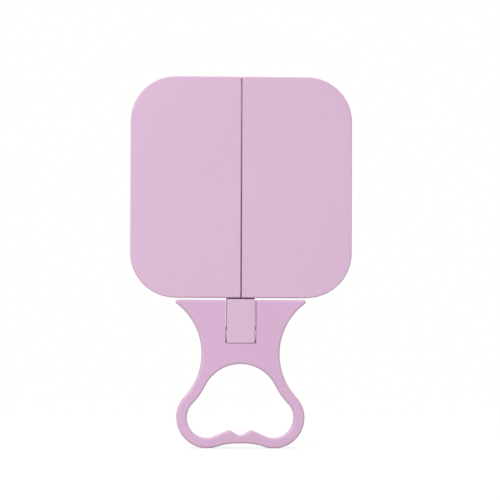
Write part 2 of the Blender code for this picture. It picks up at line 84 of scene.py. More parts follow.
# Head
HEAD_CORNER = 0.0335  # corner radius of the closed doors
WALL = 0.002  # thickness of every moulded skin
RIM = 0.0022  # width of the rims round the glass
GAP = 0.0003  # between parts that meet face to face
BEAD_RISE = 0.00024  # height of the bead that closes such a gap from within
BEAD_INSET = 0.0011  # from the outside of the wall to the foot of the bead
EDGE_ROUND = 0.001  # rounding of the head's outer edges
SEAM_ROUND = 0.0004
SEAM_CORNER = 0.0006  # corners of the doors beside the seam
LIP_ROUND = 0.00025  # rounding of the inner edges of the rims
DOOR_REAR_Y = RIM_Y - GAP
KNUCKLE_R = DOOR_HIGH.y - RIM_Y
KNUCKLE_ROUND = 0.0002
TRAY_KNUCKLE = 0.008  # length of the tray's knuckle, between two of a door's
DOOR_KNUCKLE = 0.005
KNUCKLE_GAP = 0.00035  # between the ends of neighbouring knuckles
KNUCKLE_ROOT = 0.0015  # how deep the knuckle's arm is set into the tray's wall
KNUCKLE_RISE = 0.0001  # from the tray's rim back to the knuckle's arm
HINGE_BORE_R = 0.00088
PIN_CHANNEL = 0.019  # length of the groove that a hinge pin is slid in from
PIN_EDGE = 1 / 3  # rounding of a hinge pin's ends, as a share of its radius

# Tray, glass and tape
TRAY_HALF = 0.078
TRAY_CORNER = 0.0305
TRAY_FIT = 0.0003  # between the glass and the tray's wall
GLASS_CORNER = 0.0285
GLASS_BEVEL = 0.0004
TAPE_WIDTH = 0.016
TAPE_ROUND = 0.00015
FLAT = 0.99  # least part along Y of the normal of a glass pane's flat faces
GROUND, PAINTED = 1, 2  # places of the edge and the back in the glass's materials

# Tab and pivot
TAB_HALF = 0.0105
TAB_TOP = -0.0835
TAB_REAR_Y = -0.0002
TAB_ROUND = 0.0008
TAB_END_ROUND = 0.0004  # of the stop at the front lower corner
NECK_FRONT_Y = -0.0058
NECK_TOP = -0.0814
TAB_CORE_HALF = 0.0035  # half width of each of two hollows in the tab's back
TAB_CORE_X = 0.0055
TAB_CORE_TOP = -0.0855
TAB_CORE_END = -0.1005
TAB_CORE_FLOOR_Y = -0.0095
BARREL_R = TAB_REAR_Y - PIVOT_Y
PIVOT_BORE_R = 0.0021
PIVOT_PIN_EDGE = 1 / 4  # rounding of the pivot pin's ends, as a share of its radius
WASHER_EDGE = 1 / 4  # rounding of a washer, as a share of its thickness
FOLD_SLOPE = math.tan(math.radians(20))  # slot floor behind the pivot

# Handle
EAR_ROUND = 0.0015
FLARE_X = 0.0755  # centre and radius of the hollow side of the neck
FLARE_R = 0.0466
LOBE_X = 0.0249  # centre and radius of the loop's round side
LOBE_R = 0.0227
LOBE_Z = -0.1716
FOOT_Z = -0.1906  # middle of the loop's lower edge
FOOT_FLAT = 0.002  # half width of its flat part
HANDLE_ROUND = 0.0015
SMALLEST_R = 0.0002
SLOT_HALF = 0.01135
SLOT_FLOOR = -0.1166
SLOT_STEPS = (  # (place, rise) of the floor in the front half, clear of the folding tab
    (-0.0072, 0.0),
    (-0.0075, 0.0005),
    (-0.0096, 0.0005),
    (-0.0098, 0.0002),
)
SLOT_ROUND = 0.0003
SLOT_CORNER = 0.0005
ARCH_Z = -0.1612  # centre and radius of the arch over the grip opening
ARCH_R = 0.02945
GRIP_LOBE_R = 0.015
GRIP_WAIST_R = 0.0489  # bend between the arch and the lobe
BUMP = (0.008, -0.1807)  # corners of the small notch at the bottom of the opening
NOTCH = (0.0019, -0.1844)
BUMP_ROUND = 0.0016
NOTCH_ROUND = 0.0015
PIN_BLOCK_END = 0.0216  # outer end of the block that holds an end of the pivot pin
PIN_BLOCK_HALF = 0.0046  # its half height

# Screws and their holes
BOSS_R = 0.0032  # of the post round a screw
SCREW_LEVELS = ("upper", "middle", "lower")
SCREW_R = 0.0011
SCREW_TIP = 0.3  # radius of the tip, as a share of the shank's
SCREW_HEAD = 0.0013
DOME_POWER = 0.6  # below 1 makes the head's dome fuller
DOME_FLAT_STEPS = 3  # of BEND_STEPS, where the flat top of the dome ends
COUNTERBORE_R = 0.00215
COUNTERBORE_DEPTH = 0.002
SCREW_HOLE_R = 0.0013
PILOT_FLOOR_Y = -0.01
CROSS_HALF = 0.0011  # half length of the cross recess's arms
CROSS_WIDTH = 0.0005
CROSS_DEPTH = 0.0007

# Fineness, as steps in an arc, and small distances
CORNER_STEPS = 28
CURVE_STEPS = 36
BEND_STEPS = 8
ROUND_STEPS = 6
LIP_STEPS = 3
RING_STEPS = 48
PAST = 0.001  # how far a cutter runs past the face that it opens
SAME_PLACE = 1e-7  # points nearer than this are one

SIDES = {"left": -1, "right": 1}


# Outlines


def on_circle(centre, radius, angle):
    turn = math.radians(angle)
    return (centre[0] + radius * math.cos(turn), centre[1] + radius * math.sin(turn))


def arc(centre, radius, start, end, steps):
    """Points of an arc with both its ends, in degrees from the first axis towards the second."""
    turn = (end - start) / steps
    return [on_circle(centre, radius, start + turn * i) for i in range(steps + 1)]


def circle(centre, radius, steps=RING_STEPS):
    return arc(centre, radius, 0, 360, steps)[:-1]


def chain(*pieces):
    """One path through all the pieces, with a shared end point kept once."""
    path = []
    for point in (p for piece in pieces for p in piece):
        if not path or math.dist(path[-1], point) > SAME_PLACE:
            path.append(point)
    return path


def mirrored(points, side):
    """The points at +X, or flipped to -X and kept in the same turning sense."""
    return points if side > 0 else [(-x, z) for x, z in reversed(points)]


def bearing(start, end):
    return math.degrees(math.atan2(end[1] - start[1], end[0] - start[0]))


def rounded_rectangle(half_x, half_z, corner):
    x, z = half_x - corner, half_z - corner
    corners = ((x, z, 0), (-x, z, 90), (-x, -z, 180), (x, -z, 270))
    return chain(
        *(arc((cx, cz), corner, a, a + 90, CORNER_STEPS) for cx, cz, a in corners)
    )


def half_panel(seam_x, outer_x, half_z, corner, seam_corner):
    """Outline of the panel at +X: straight along the seam, with its two outer corners large."""
    x, z = outer_x - corner, half_z - corner
    near_x, near_z = seam_x + seam_corner, half_z - seam_corner
    return chain(
        arc((near_x, -near_z), seam_corner, -180, -90, BEND_STEPS),
        arc((x, -z), corner, -90, 0, CORNER_STEPS),
        arc((x, z), corner, 0, 90, CORNER_STEPS),
        arc((near_x, near_z), seam_corner, 90, 180, BEND_STEPS),
    )


def offset_corner(before, corner, after, distance):
    """Where a corner goes when both its lines move to the left of their direction."""
    first = (Vector(corner) - Vector(before)).normalized().orthogonal()
    second = (Vector(after) - Vector(corner)).normalized().orthogonal()
    return Vector(corner) + (first + second) * distance / (1 + first.dot(second))


def fillet(before, corner, after, radius, steps=BEND_STEPS):
    """Arc that rounds the corner of two straight lines."""
    to_start = (Vector(before) - Vector(corner)).normalized()
    to_end = (Vector(after) - Vector(corner)).normalized()
    half = to_start.angle(to_end) / 2
    centre = Vector(corner) + (to_start + to_end).normalized() * radius / math.sin(half)
    start = bearing(centre, Vector(corner) + to_start * radius / math.tan(half))
    end = bearing(centre, Vector(corner) + to_end * radius / math.tan(half))
    turn = (end - start + 180) % 360 - 180
    return arc(centre, radius, start, start + turn, steps)


def handle_side(inset):
    """Outer edge of the handle at +X, from the top of its ear to the middle of its foot."""
    lobe = (LOBE_X, LOBE_Z)
    across = FLARE_X - LOBE_X
    flare = (FLARE_X, LOBE_Z + math.sqrt((FLARE_R + LOBE_R) ** 2 - across**2))
    tip_r = max(EAR_ROUND - inset, SMALLEST_R)
    tip_z = EAR_TOP - inset - tip_r
    reach = FLARE_R + inset + tip_r
    tip = (FLARE_X - math.sqrt(reach**2 - (tip_z - flare[1]) ** 2), tip_z)
    drop = LOBE_Z - FOOT_Z
    run = LOBE_X - FOOT_FLAT
    foot_r = (run**2 + drop**2 - LOBE_R**2) / (2 * (LOBE_R - drop))
    foot = (FOOT_FLAT, FOOT_Z - foot_r)
    return chain(
        arc(tip, tip_r, 90, bearing(tip, flare), BEND_STEPS),
        arc(flare, FLARE_R + inset, bearing(flare, tip), bearing(flare, lobe) + 360, CURVE_STEPS),
        arc(lobe, LOBE_R - inset, bearing(lobe, flare), bearing(lobe, foot), CURVE_STEPS),
        arc(foot, foot_r + inset, bearing(foot, lobe), 90, BEND_STEPS),
    )


def handle_outline(inset, slot_inset=None, slot_floor=SLOT_FLOOR):
    """Outer edge of the handle, with its slot unless slot_inset is None."""
    side = handle_side(inset)
    if slot_inset is None:
        return chain(side, mirrored(side, -1))
    top = EAR_TOP - inset
    wall_x, floor_z = SLOT_HALF + slot_inset, slot_floor - slot_inset
    corner = (wall_x, floor_z)
    mouth = (wall_x, top)
    slot = chain(
        [(0.0, floor_z)],
        fillet((0.0, floor_z), corner, mouth, SLOT_CORNER + slot_inset),
        fillet(corner, mouth, (side[0][0], top), max(SLOT_CORNER - inset, SMALLEST_R)),
    )
    half = chain(slot, side)
    return chain(half, mirrored(half, -1))[:-1]


def grip_outline(inset):
    """Edge of the grip opening, moved into the material by inset."""
    arch = (0.0, ARCH_Z)
    lobe = (LOBE_X, LOBE_Z)
    to_arch, to_lobe = ARCH_R + GRIP_WAIST_R, GRIP_LOBE_R + GRIP_WAIST_R
    apart = math.dist(arch, lobe)
    cosine = (to_arch**2 + apart**2 - to_lobe**2) / (2 * to_arch * apart)
    waist = on_circle(arch, to_arch, bearing(arch, lobe) + math.degrees(math.acos(cosine)))
    tangent = math.degrees(math.acos(GRIP_LOBE_R / math.dist(lobe, BUMP)))
    leave = bearing(lobe, BUMP) + tangent
    middle = (0.0, NOTCH[1])
    bump = offset_corner(on_circle(lobe, GRIP_LOBE_R, leave), BUMP, NOTCH, inset)
    notch = offset_corner(BUMP, NOTCH, middle, inset)
    lobe_arc = arc(lobe, GRIP_LOBE_R + inset, bearing(lobe, waist), leave, CURVE_STEPS)
    waist_start, waist_end = bearing(waist, arch) + 360, bearing(waist, lobe) + 360
    half = chain(
        arc(arch, ARCH_R + inset, 90, bearing(arch, waist), CURVE_STEPS),
        arc(waist, GRIP_WAIST_R - inset, waist_start, waist_end, BEND_STEPS),
        lobe_arc,
        fillet(lobe_arc[-1], bump, notch, max(BUMP_ROUND - inset, SMALLEST_R)),
        fillet(bump, notch, (0.0, notch[1]), NOTCH_ROUND + inset),
    )
    return chain(half, mirrored(half, -1))[:-1]


# Solids

PLACED = {
    "X": lambda u, v, along: (along, u, v),
    "Y": lambda u, v, along: (u, along, v),
    "Z": lambda u, v, along: (u, v, along),
}


def link(name, bm):
    bmesh.ops.recalc_face_normals(bm, faces=bm.faces)
    mesh = bpy.data.meshes.new(name)
    bm.to_mesh(mesh)
    bm.free()
    obj = bpy.data.objects.new(name, mesh)
    bpy.context.scene.collection.objects.link(obj)
    return obj


def loft(name, rings, axis="Y", closed=False):
    """Solid through rings of equal length, each an outline at its own place along the axis.

    Its ends are capped, or joined to each other when closed.
    """
    bm = bmesh.new()
    loops = [
        [bm.verts.new(PLACED[axis](u, v, along)) for u, v in outline] for outline, along in rings
    ]
    pairs = list(zip(loops, loops[1:]))
    if closed:
        pairs.append((loops[-1], loops[0]))
    else:
        bm.faces.new(loops[0])
        bm.faces.new(loops[-1])
    for near, far in pairs:
        for i in range(len(near)):
            bm.faces.new((near[i - 1], near[i], far[i], far[i - 1]))
    return link(name, bm)


def prism(name, outline, start, end, axis="Y"):
    return loft(name, [(outline, start), (outline, end)], axis)


def rod(name, centre, radius, start, end, axis, edge=0.0):
    """Round bar whose two ends have a rounded edge."""
    if not edge:
        return prism(name, circle(centre, radius), start, end, axis)
    rings = [(circle(centre, radius - i), place) for i, place in rounded_ends(edge, start, end)]
    return loft(name, rings, axis)


def box(name, low, high):
    corners = [(low[0], low[2]), (high[0], low[2]), (high[0], high[2]), (low[0], high[2])]
    return prism(name, corners, low[1], high[1])


def rounding(radius, face, towards, steps=ROUND_STEPS):
    """(inset, place) of each ring that rounds an edge into a face; towards is the face's side."""
    angles = [math.radians(90 * i / steps) for i in range(steps + 1)]
    return [
        (radius * (1 - math.cos(a)), face - towards * radius * (1 - math.sin(a))) for a in angles
    ]


def rounded_ends(radius, low, high, steps=LIP_STEPS):
    """(inset, place) of the rings that round both ends of a piece from low to high."""
    return rounding(radius, low, -1, steps)[::-1] + rounding(radius, high, 1, steps)


def combine(target, operation, helpers):
    """Applies one Boolean for each helper and removes the helpers."""
    for helper in helpers:
        modifier = target.modifiers.new(helper.name, "BOOLEAN")
        modifier.operation = operation
        modifier.solver = "MANIFOLD"
        modifier.object = helper
    graph = bpy.context.evaluated_depsgraph_get()
    whole = bpy.data.meshes.new_from_object(target.evaluated_get(graph))
    whole.materials.clear()
    target.modifiers.clear()
    target.data = whole
    for helper in helpers:
        bpy.data.objects.remove(helper)
    return target


def cut(target, *helpers):
    return combine(target, "DIFFERENCE", helpers)


def join(target, *helpers):
    return combine(target, "UNION", helpers)


# Materials

LILAC = (0.722, 0.485, 0.674)
# the head's lilac painted a little darker for the handle: painted shade for the dimmer light on the
# handle
SHADED_HANDLE_LILAC = (0.692, 0.449, 0.648)
SATIN = 0.42  # roughness of the plastic
SATIN_SPREAD = 0.03
HAIRLINE_DULLING = 0.07
SILVER = (0.86, 0.885, 0.88)
GLASS_GREEN = (0.46, 0.62, 0.56)
PAINT_GREY = (0.22, 0.235, 0.245)
FOAM_WHITE = (0.8, 0.8, 0.77)
FOAM_CELL = 0.0004
ZINC = (0.62, 0.635, 0.66)
TURNING = 26.0  # how many times finer the turning marks are along the axis
NYLON_WHITE = (0.8, 0.76, 0.8)
PAPER_WHITE = (0.93, 0.93, 0.925)


def wire(tree, node, values):
    """Feeds a node's inputs: a value that is a socket is linked, and any other is set."""
    for key, value in values.items():
        if isinstance(value, bpy.types.NodeSocket):
            tree.links.new(value, node.inputs[key])
        else:
            node.inputs[key].default_value = value


def add(tree, kind, values=None, **settings):
    made = tree.nodes.new(kind)
    for key, value in settings.items():
        setattr(made, key, value)
    wire(tree, made, values or {})
    return made


def start_material(name):
    material = bpy.data.materials.new(name)
    material.use_nodes = True
    tree = material.node_tree
    place = add(tree, "ShaderNodeTexCoord").outputs["Object"]
    return material, tree, tree.nodes["Principled BSDF"], place


def noise(tree, place, size, detail=2.0, stretch=(1, 1, 1)):
    """Noise whose blobs are about size metres across."""
    mapped = add(tree, "ShaderNodeMapping", {"Vector": place, "Scale": stretch})
    made = add(
        tree,
        "ShaderNodeTexNoise",
        {"Vector": mapped.outputs["Vector"], "Scale": 1 / size, "Detail": detail},
    )
    return made.outputs["Fac"]


def spread(tree, value, low, high, start=0.35, end=0.65):
    """The value stretched from start..end, at first the usual range of a noise, to low..high."""
    made = add(
        tree,
        "ShaderNodeMapRange",
        {"Value": value, "From Min": start, "From Max": end, "To Min": low, "To Max": high},
    )
    return made.outputs["Result"]


def calculate(tree, operation, first, second):
    made = add(tree, "ShaderNodeMath", {0: first, 1: second}, operation=operation)
    return made.outputs[0]


def tinted(tree, colour, value):
    made = add(tree, "ShaderNodeHueSaturation", {"Color": (*colour, 1.0), "Value": value})
    return made.outputs["Color"]


def bump(tree, height, distance, below=None):
    """Normal that follows a height pattern, distance metres deep, over the bumps below it."""
    values = {"Height": height, "Distance": distance, "Strength": 1.0}
    if below is not None:
        values["Normal"] = below
    return add(tree, "ShaderNodeBump", values).outputs["Normal"]


def plastic(name, colour):
    """Satin moulded plastic: faint flow marks, fine grain and hairline scratches from use."""
    material, tree, shader, place = start_material(name)
    flow = noise(tree, place, size=0.045, detail=3.0, stretch=(1.0, 1.0, 0.55))
    mottle = noise(tree, place, size=0.006, detail=2.0)
    grain = noise(tree, place, size=0.00045, detail=1.0)
    peel = noise(tree, place, size=0.0032, detail=1.0)
    hairs = noise(tree, place, size=0.012, detail=3.0, stretch=(34.0, 1.0, 1.4))
    hairline = spread(tree, hairs, 0.0, 1.0, 0.66, 0.72)
    light = calculate(
        tree, "MULTIPLY", spread(tree, flow, 0.99, 1.01), spread(tree, mottle, 0.995, 1.005)
    )
    gloss = spread(tree, mottle, SATIN - SATIN_SPREAD, SATIN + SATIN_SPREAD)
    gloss = calculate(tree, "ADD", gloss, calculate(tree, "MULTIPLY", hairline, HAIRLINE_DULLING))
    normal = bump(tree, peel, 0.000012)
    normal = bump(tree, grain, 0.000016, normal)
    wire(
        tree,
        shader,
        {
            "Base Color": tinted(tree, colour, light),
            "Roughness": gloss,
            "IOR": 1.5,
            "Normal": normal,
        },
    )
    return material


def mirror_face():
    """Silvered front of the glass, with a trace of smudging."""
    material, tree, shader, place = start_material("mirror_silvering")
    smudge = noise(tree, place, size=0.022, detail=4.0, stretch=(1.0, 1.0, 1.6))
    light = spread(tree, noise(tree, place, size=0.06, detail=2.0), 0.99, 1.0)
    wire(
        tree,
        shader,
        {
            "Base Color": tinted(tree, SILVER, light),
            "Metallic": 1.0,
            "Roughness": spread(tree, smudge, 0.012, 0.05, 0.5, 0.75),
            "Coat Weight": 0.6,
            "Coat Roughness": 0.01,
        },
    )
    return material


def glass_edge():
    """Ground edge of the glass: frosted, pale green, with grinding marks along it."""
    material, tree, shader, place = start_material("mirror_ground_edge")
    marks = noise(tree, place, size=0.0004, detail=2.0)
    tone = spread(tree, noise(tree, place, size=0.01, detail=2.0), 0.9, 1.08)
    wire(
        tree,
        shader,
        {
            "Base Color": tinted(tree, GLASS_GREEN, tone),
            "Roughness": spread(tree, marks, 0.28, 0.46),
            "Normal": bump(tree, marks, 0.00002),
            "Coat Weight": 0.3,
        },
    )
    return material


def glass_backing():
    """Grey protective paint on the back of the silvering."""
    material, tree, shader, place = start_material("mirror_backing_paint")
    orange = noise(tree, place, size=0.0011, detail=2.0)
    tone = spread(tree, noise(tree, place, size=0.02, detail=3.0), 0.93, 1.06)
    wire(
        tree,
        shader,
        {
            "Base Color": tinted(tree, PAINT_GREY, tone),
            "Roughness": spread(tree, orange, 0.5, 0.62),
            "Normal": bump(tree, orange, 0.00003),
        },
    )
    return material


def foam():
    """Closed-cell foam tape, full of small pores."""
    material, tree, shader, place = start_material("foam_tape")
    cells = add(
        tree, "ShaderNodeTexVoronoi", {"Vector": place, "Scale": 1 / FOAM_CELL}, feature="F1"
    ).outputs["Distance"]
    pores = spread(tree, cells, 0.0, 1.0, 0.1, 0.5)
    tone = spread(tree, cells, 0.86, 1.0, 0.1, 0.5)
    wire(
        tree,
        shader,
        {
            "Base Color": tinted(tree, FOAM_WHITE, tone),
            "Roughness": spread(tree, noise(tree, place, size=0.004), 0.85, 0.95),
            "Normal": bump(tree, pores, 0.00008),
            "Sheen Weight": 0.2,
        },
    )
    return material


def steel(name, along):
    """Zinc-plated steel with turning marks round the axis along."""
    material, tree, shader, place = start_material(name)
    stretch = [TURNING if axis == along else 1.0 for axis in "XYZ"]
    lines = noise(tree, place, size=0.002, detail=3.0, stretch=stretch)
    cloud = noise(tree, place, size=0.0015, detail=3.0)
    tone = spread(tree, cloud, 0.93, 1.05)
    wire(
        tree,
        shader,
        {
            "Base Color": tinted(tree, ZINC, tone),
            "Metallic": 1.0,
            "Roughness": spread(tree, lines, 0.2, 0.38),
            "Normal": bump(tree, lines, 0.00001),
        },
    )
    return material


def nylon():
    """Natural nylon: milky, satin, slightly translucent."""
    material, tree, shader, place = start_material("nylon")
    swirl = noise(tree, place, size=0.003, detail=3.0)
    wire(
        tree,
        shader,
        {
            "Base Color": tinted(tree, NYLON_WHITE, spread(tree, swirl, 0.96, 1.03)),
            "Roughness": spread(tree, noise(tree, place, size=0.0008), 0.42, 0.55),
            "Subsurface Weight": 0.15,
            "Subsurface Radius": (0.0006, 0.0005, 0.0005),
            "Subsurface Scale": 1.0,
            "Normal": bump(tree, noise(tree, place, size=0.0003), 0.00001),
        },
    )
    return material


def floor_paper():
    """Matt studio paper that runs out into the white of the backdrop.

    The mirrors see it pale nearby and fading into the sky's level, and all else that it lights
    gets a small share of it.
    """
    material, tree, shader, place = start_material("studio_paper")
    fibres = noise(tree, place, size=0.002, detail=3.0)
    wire(
        tree,
        shader,
        {
            "Base Color": tinted(tree, PAPER_WHITE, spread(tree, fibres, 0.99, 1.0)),
            "Roughness": 0.9,
            "Specular IOR Level": 0.2,
        },
    )
    away = add(tree, "ShaderNodeVectorMath", {0: place}, operation="LENGTH").outputs["Value"]
    ray = add(tree, "ShaderNodeLightPath").outputs
    level_in_mirrors = spread(tree, away, NEARBY, HORIZON, *MIRRORED_FADE)
    bounced = calculate(tree, "MULTIPLY", ray["Is Glossy Ray"], level_in_mirrors)
    bounced = calculate(tree, "MAXIMUM", bounced, BOUNCE)
    strength = calculate(tree, "MAXIMUM", ray["Is Camera Ray"], bounced)
    white = add(tree, "ShaderNodeEmission", {"Color": WHITE, "Strength": strength})
    faded = add(
        tree,
        "ShaderNodeMixShader",
        {
            0: spread(tree, away, FLOOR_PALE, 1.0, *FLOOR_FADE),
            1: shader.outputs["BSDF"],
            2: white.outputs["Emission"],
        },
    )
    tree.links.new(faded.outputs["Shader"], tree.nodes["Material Output"].inputs["Surface"])
    return material


# Finishing

SHARP_ANGLE = math.radians(38)
LARGE_FACES_LEAD = 100  # weight that lets the large faces decide the shading


def finish(obj, node, body, slot, *materials):
    """Gives a piece its materials and shading, and lets it stand for its CAD node."""
    for material in materials:
        obj.data.materials.append(material)
    obj.data.shade_smooth()
    obj.data.set_sharp_from_angle(angle=SHARP_ANGLE)
    weighted = obj.modifiers.new("even_shading", "WEIGHTED_NORMAL")
    weighted.keep_sharp = True
    weighted.weight = LARGE_FACES_LEAD
    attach(obj, body)
    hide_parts(node)


# Head


def hinge_stations():
    return (("upper", HINGE_Z), ("lower", -HINGE_Z))


def lip(outline, start, end):
    """Rings of a pocket from its floor at start to its rounded mouth at end."""
    towards = 1 if end > start else -1
    rings = [(outline(0), start)]
    rings += [(outline(-inset), y) for inset, y in rounding(LIP_ROUND, end, towards, LIP_STEPS)]
    return rings


def rim_edge(outline, face, towards):
    """Rings of the small outer rounding of a rim, from its face to the wall."""
    return [
        (outline(inset), y) for inset, y in reversed(rounding(LIP_ROUND, face, towards, LIP_STEPS))
    ]


def bead(face, towards):
    """(inset, place) of the outer edge of a bead that stands on a face, from its top down."""
    return [(BEAD_INSET + BEAD_RISE, face + towards * BEAD_RISE), (BEAD_INSET, face)]


def tray_outline(inset):
    return rounded_rectangle(TRAY_HALF - inset, HEAD_HALF - inset, TRAY_CORNER - inset)


def tray_pocket(inset):
    corner = GLASS_CORNER + TRAY_FIT
    return rounded_rectangle(TRAY_HALF - RIM - inset, HEAD_HALF - RIM - inset, corner - inset)


def glass_outline(inset):
    return rounded_rectangle(GLASS_HIGH.x - inset, GLASS_HIGH.z - inset, GLASS_CORNER - inset)


def tray_knuckle(name, side, z):
    """Knuckle on a short arm that reaches out of the tray's side wall."""
    arm_root = TRAY_HALF - KNUCKLE_ROOT
    arm_y = RIM_Y + KNUCKLE_RISE

    def outline(inset):
        half = chain(
            [(arm_root, arm_y + inset), (HINGE_X - KNUCKLE_R + inset, arm_y + inset)],
            arc((HINGE_X, RIM_Y), KNUCKLE_R - inset, 180, 450, RING_STEPS),
            [(arm_root, RIM_Y + KNUCKLE_R - inset)],
        )
        return mirrored(half, side)

    profile = rounded_ends(KNUCKLE_ROUND, z - TRAY_KNUCKLE / 2, z + TRAY_KNUCKLE / 2)
    return loft(name, [(outline(inset), place) for inset, place in profile], axis="Z")


def tab():
    """Tab with its neck: a square stop at the front lower corner and a round back."""

    def profile(inset):
        front, top, end = FRONT_Y + inset, TAB_TOP - inset, TAB_END + inset
        return chain(
            [(front, top)],
            fillet((front, top), (front, end), (PIVOT_Y, end), TAB_END_ROUND),
            arc((PIVOT_Y, PIVOT_Z), BARREL_R - inset, -90, 0, CORNER_STEPS),
            [(TAB_REAR_Y - inset, NECK_TOP), (NECK_FRONT_Y, NECK_TOP), (NECK_FRONT_Y, top)],
        )

    sides = rounded_ends(TAB_ROUND, -TAB_HALF, TAB_HALF, ROUND_STEPS)
    return loft("tab", [(profile(inset), x) for inset, x in sides], axis="X")


def centre_tray(material):
    rings = lip(tray_pocket, BACK_Y - WALL, RIM_Y - BEAD_RISE)
    rings += [(tray_outline(inset), y) for inset, y in bead(RIM_Y, -1)]
    rings += rim_edge(tray_outline, RIM_Y, -1)
    rings += [(tray_outline(inset), y) for inset, y in rounding(EDGE_ROUND, BACK_Y, 1)]
    tray = loft("centre_tray_fine", rings)
    knuckles = [
        tray_knuckle("knuckle", side, z) for side in SIDES.values() for _, z in hinge_stations()
    ]
    join(tray, tab(), *knuckles)
    bores = [
        rod("bore", (side * HINGE_X, RIM_Y), HINGE_BORE_R, z - TRAY_KNUCKLE, z + TRAY_KNUCKLE, "Z")
        for side in SIDES.values()
        for _, z in hinge_stations()
    ]
    pivot = rod(
        "bore", (PIVOT_Y, PIVOT_Z), PIVOT_BORE_R, -TAB_HALF - PAST, TAB_HALF + PAST, "X"
    )
    cores = [
        box(
            "core",
            (middle - TAB_CORE_HALF, TAB_CORE_FLOOR_Y, TAB_CORE_END),
            (middle + TAB_CORE_HALF, PAST, TAB_CORE_TOP),
        )
        for middle in (-TAB_CORE_X, TAB_CORE_X)
    ]
    cut(tray, pivot, *bores, *cores)
    finish(tray, "centre_tray", "frame", "lilac_plastic", material)


def glass_sheet(node, body, outline, back_y, shiny_y, materials):
    """Sheet of mirror glass: silvered face, ground bevel and edge, painted back."""
    towards = 1 if shiny_y > back_y else -1
    rings = [
        (outline(GLASS_BEVEL / 2), back_y),
        (outline(0), back_y + towards * GLASS_BEVEL / 2),
        (outline(0), shiny_y - towards * GLASS_BEVEL),
        (outline(GLASS_BEVEL), shiny_y),
    ]
    sheet = loft(f"{node}_fine", rings)
    for face in sheet.data.polygons:
        if abs(face.normal.y) < FLAT:
            face.material_index = GROUND
        elif face.normal.y * towards < 0:
            face.material_index = PAINTED
    finish(sheet, node, body, "mirror_glass", *materials)


def tape_frame(node, body, outline, material):
    """Foam tape laid in one closed frame just inside the edge of its glass."""
    low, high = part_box(node)

    def ring(inset, y, outer):
        return (outline(inset if outer else TAPE_WIDTH - inset), y)

    profile = rounded_ends(TAPE_ROUND, low.y, high.y)
    rings = [ring(i, y, True) for i, y in profile]
    rings += [ring(i, y, False) for i, y in reversed(profile)]
    tape = loft(f"{node}_fine", rings, closed=True)
    finish(tape, node, body, "foam_tape", material)


def centre_panel(looks):
    glass_sheet(
        "centre_mirror", "frame", glass_outline, GLASS_HIGH.y, GLASS_LOW.y, looks["glass"]
    )
    margin = GLASS_HIGH.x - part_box("centre_mirror_tape")[1].x
    tape_frame(
        "centre_mirror_tape", "frame", lambda inset: glass_outline(margin + inset), looks["foam"]
    )


def hinge_pins(material):
    for side_name in SIDES:
        for level, _ in hinge_stations():
            node = f"hinge_pin_{side_name}_{level}"
            low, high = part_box(node)
            middle = (low + high) / 2
            radius = (high.x - low.x) / 2
            edge = radius * PIN_EDGE
            pin = rod(f"{node}_fine", middle.xy, radius, low.z, high.z, "Z", edge)
            finish(pin, node, "frame", "steel", material)


# Doors


def door_outline(side, inset, seam_inset):
    half = half_panel(
        SEAM_HALF + seam_inset,
        HEAD_HALF - inset,
        HEAD_HALF - inset,
        HEAD_CORNER - inset,
        max(SEAM_CORNER - inset / 2, SMALLEST_R),
    )
    return mirrored(half, side)


def door_glass_outline(side, inset):
    low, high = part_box("right_door_mirror")
    half = half_panel(
        low.x + inset, high.x - inset, high.z - inset, GLASS_CORNER - inset, SMALLEST_R
    )
    return mirrored(half, side)


def door_pocket_outline(side, inset):
    half = half_panel(
        SEAM_HALF + RIM + inset,
        TRAY_HALF - RIM - inset,
        HEAD_HALF - RIM - inset,
        GLASS_CORNER + GAP - inset,
        SMALLEST_R + LIP_ROUND - inset / 2,
    )
    return mirrored(half, side)


def door_hinge(side, z):
    """Knuckles to join to a door, and cutters for the tray's knuckle and the pin."""
    near = TRAY_KNUCKLE / 2 + KNUCKLE_GAP
    reach = near + DOOR_KNUCKLE
    centre = (side * HINGE_X, RIM_Y)
    knuckles = [
        rod("knuckle", centre, KNUCKLE_R, start, start + DOOR_KNUCKLE, "Z", KNUCKLE_ROUND)
        for start in (z + near, z - reach)
    ]
    clear_r = KNUCKLE_R + GAP
    outside = HEAD_HALF + PAST
    half = chain(
        arc((HINGE_X, RIM_Y), clear_r, 180, 270, RING_STEPS // 4),
        [
            (outside, RIM_Y - clear_r),
            (outside, RIM_Y + clear_r + PAST),
            (HINGE_X - clear_r, RIM_Y + clear_r + PAST),
        ],
    )
    pocket = prism("pocket", mirrored(half, side), z - near, z + near, axis="Z")
    towards_middle = -1 if z > 0 else 1
    ends = sorted((z - towards_middle * (reach + PAST), z + towards_middle * (reach + PIN_CHANNEL)))
    bore = rod("bore", centre, HINGE_BORE_R, *ends, "Z")
    return knuckles, [pocket, bore]


def door(side_name, side, looks):
    body = f"{side_name}_door"
    rings = lip(lambda i: door_pocket_outline(side, i), FRONT_Y + WALL, DOOR_REAR_Y)
    rings += rim_edge(lambda i: door_outline(side, i, i), DOOR_REAR_Y, 1)
    seam_share = SEAM_ROUND / EDGE_ROUND
    rings += [
        (door_outline(side, inset, inset * seam_share), y)
        for inset, y in rounding(EDGE_ROUND, FRONT_Y, -1)
    ]
    shell = loft(f"{body}_shell_fine", rings)
    for _, z in hinge_stations():
        knuckles, cutters = door_hinge(side, z)
        join(shell, *knuckles)
        cut(shell, *cutters)
    finish(shell, f"{body}_shell", body, "lilac_plastic", looks["lilac"])
    low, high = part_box(f"{body}_mirror")
    glass_sheet(
        f"{body}_mirror", body, lambda i: door_glass_outline(side, i), low.y, high.y, looks["glass"]
    )
    margin = high.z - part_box(f"{body}_mirror_tape")[1].z
    tape_frame(
        f"{body}_mirror_tape", body, lambda i: door_glass_outline(side, margin + i), looks["foam"]
    )


# Handle


